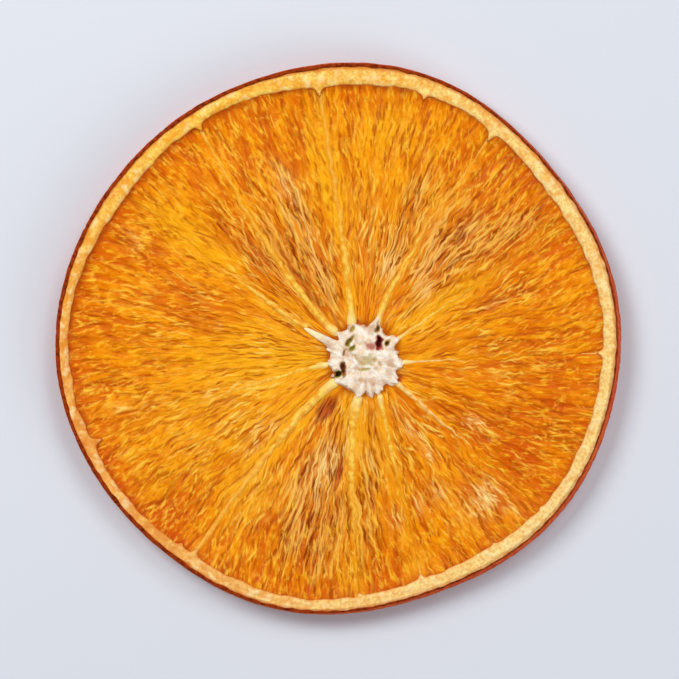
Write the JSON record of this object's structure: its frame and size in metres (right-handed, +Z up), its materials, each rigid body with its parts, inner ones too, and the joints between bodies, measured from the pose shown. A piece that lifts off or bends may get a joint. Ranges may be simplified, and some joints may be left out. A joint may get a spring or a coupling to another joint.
{
  "type": "dried orange slice",
  "caption": "Thin round slice of dried orange with a narrow rind, a pith ring, ridged translucent segments and a white star-shaped core set off the middle.",
  "frame": {"origin": "below the middle of the outline, on the flat underside of the rim", "axes": "+Z up out of the shown cut face, +X to the right and +Y to the top of the shown face"},
  "size_m": [0.0656, 0.0642, 0.0039],
  "materials": {
    "pulp": "dried translucent amber pulp with a soft gloss"
  },
  "bodies": {
    "root": {"dried_orange_slice": "pulp"}
  },
  "joints": []
}
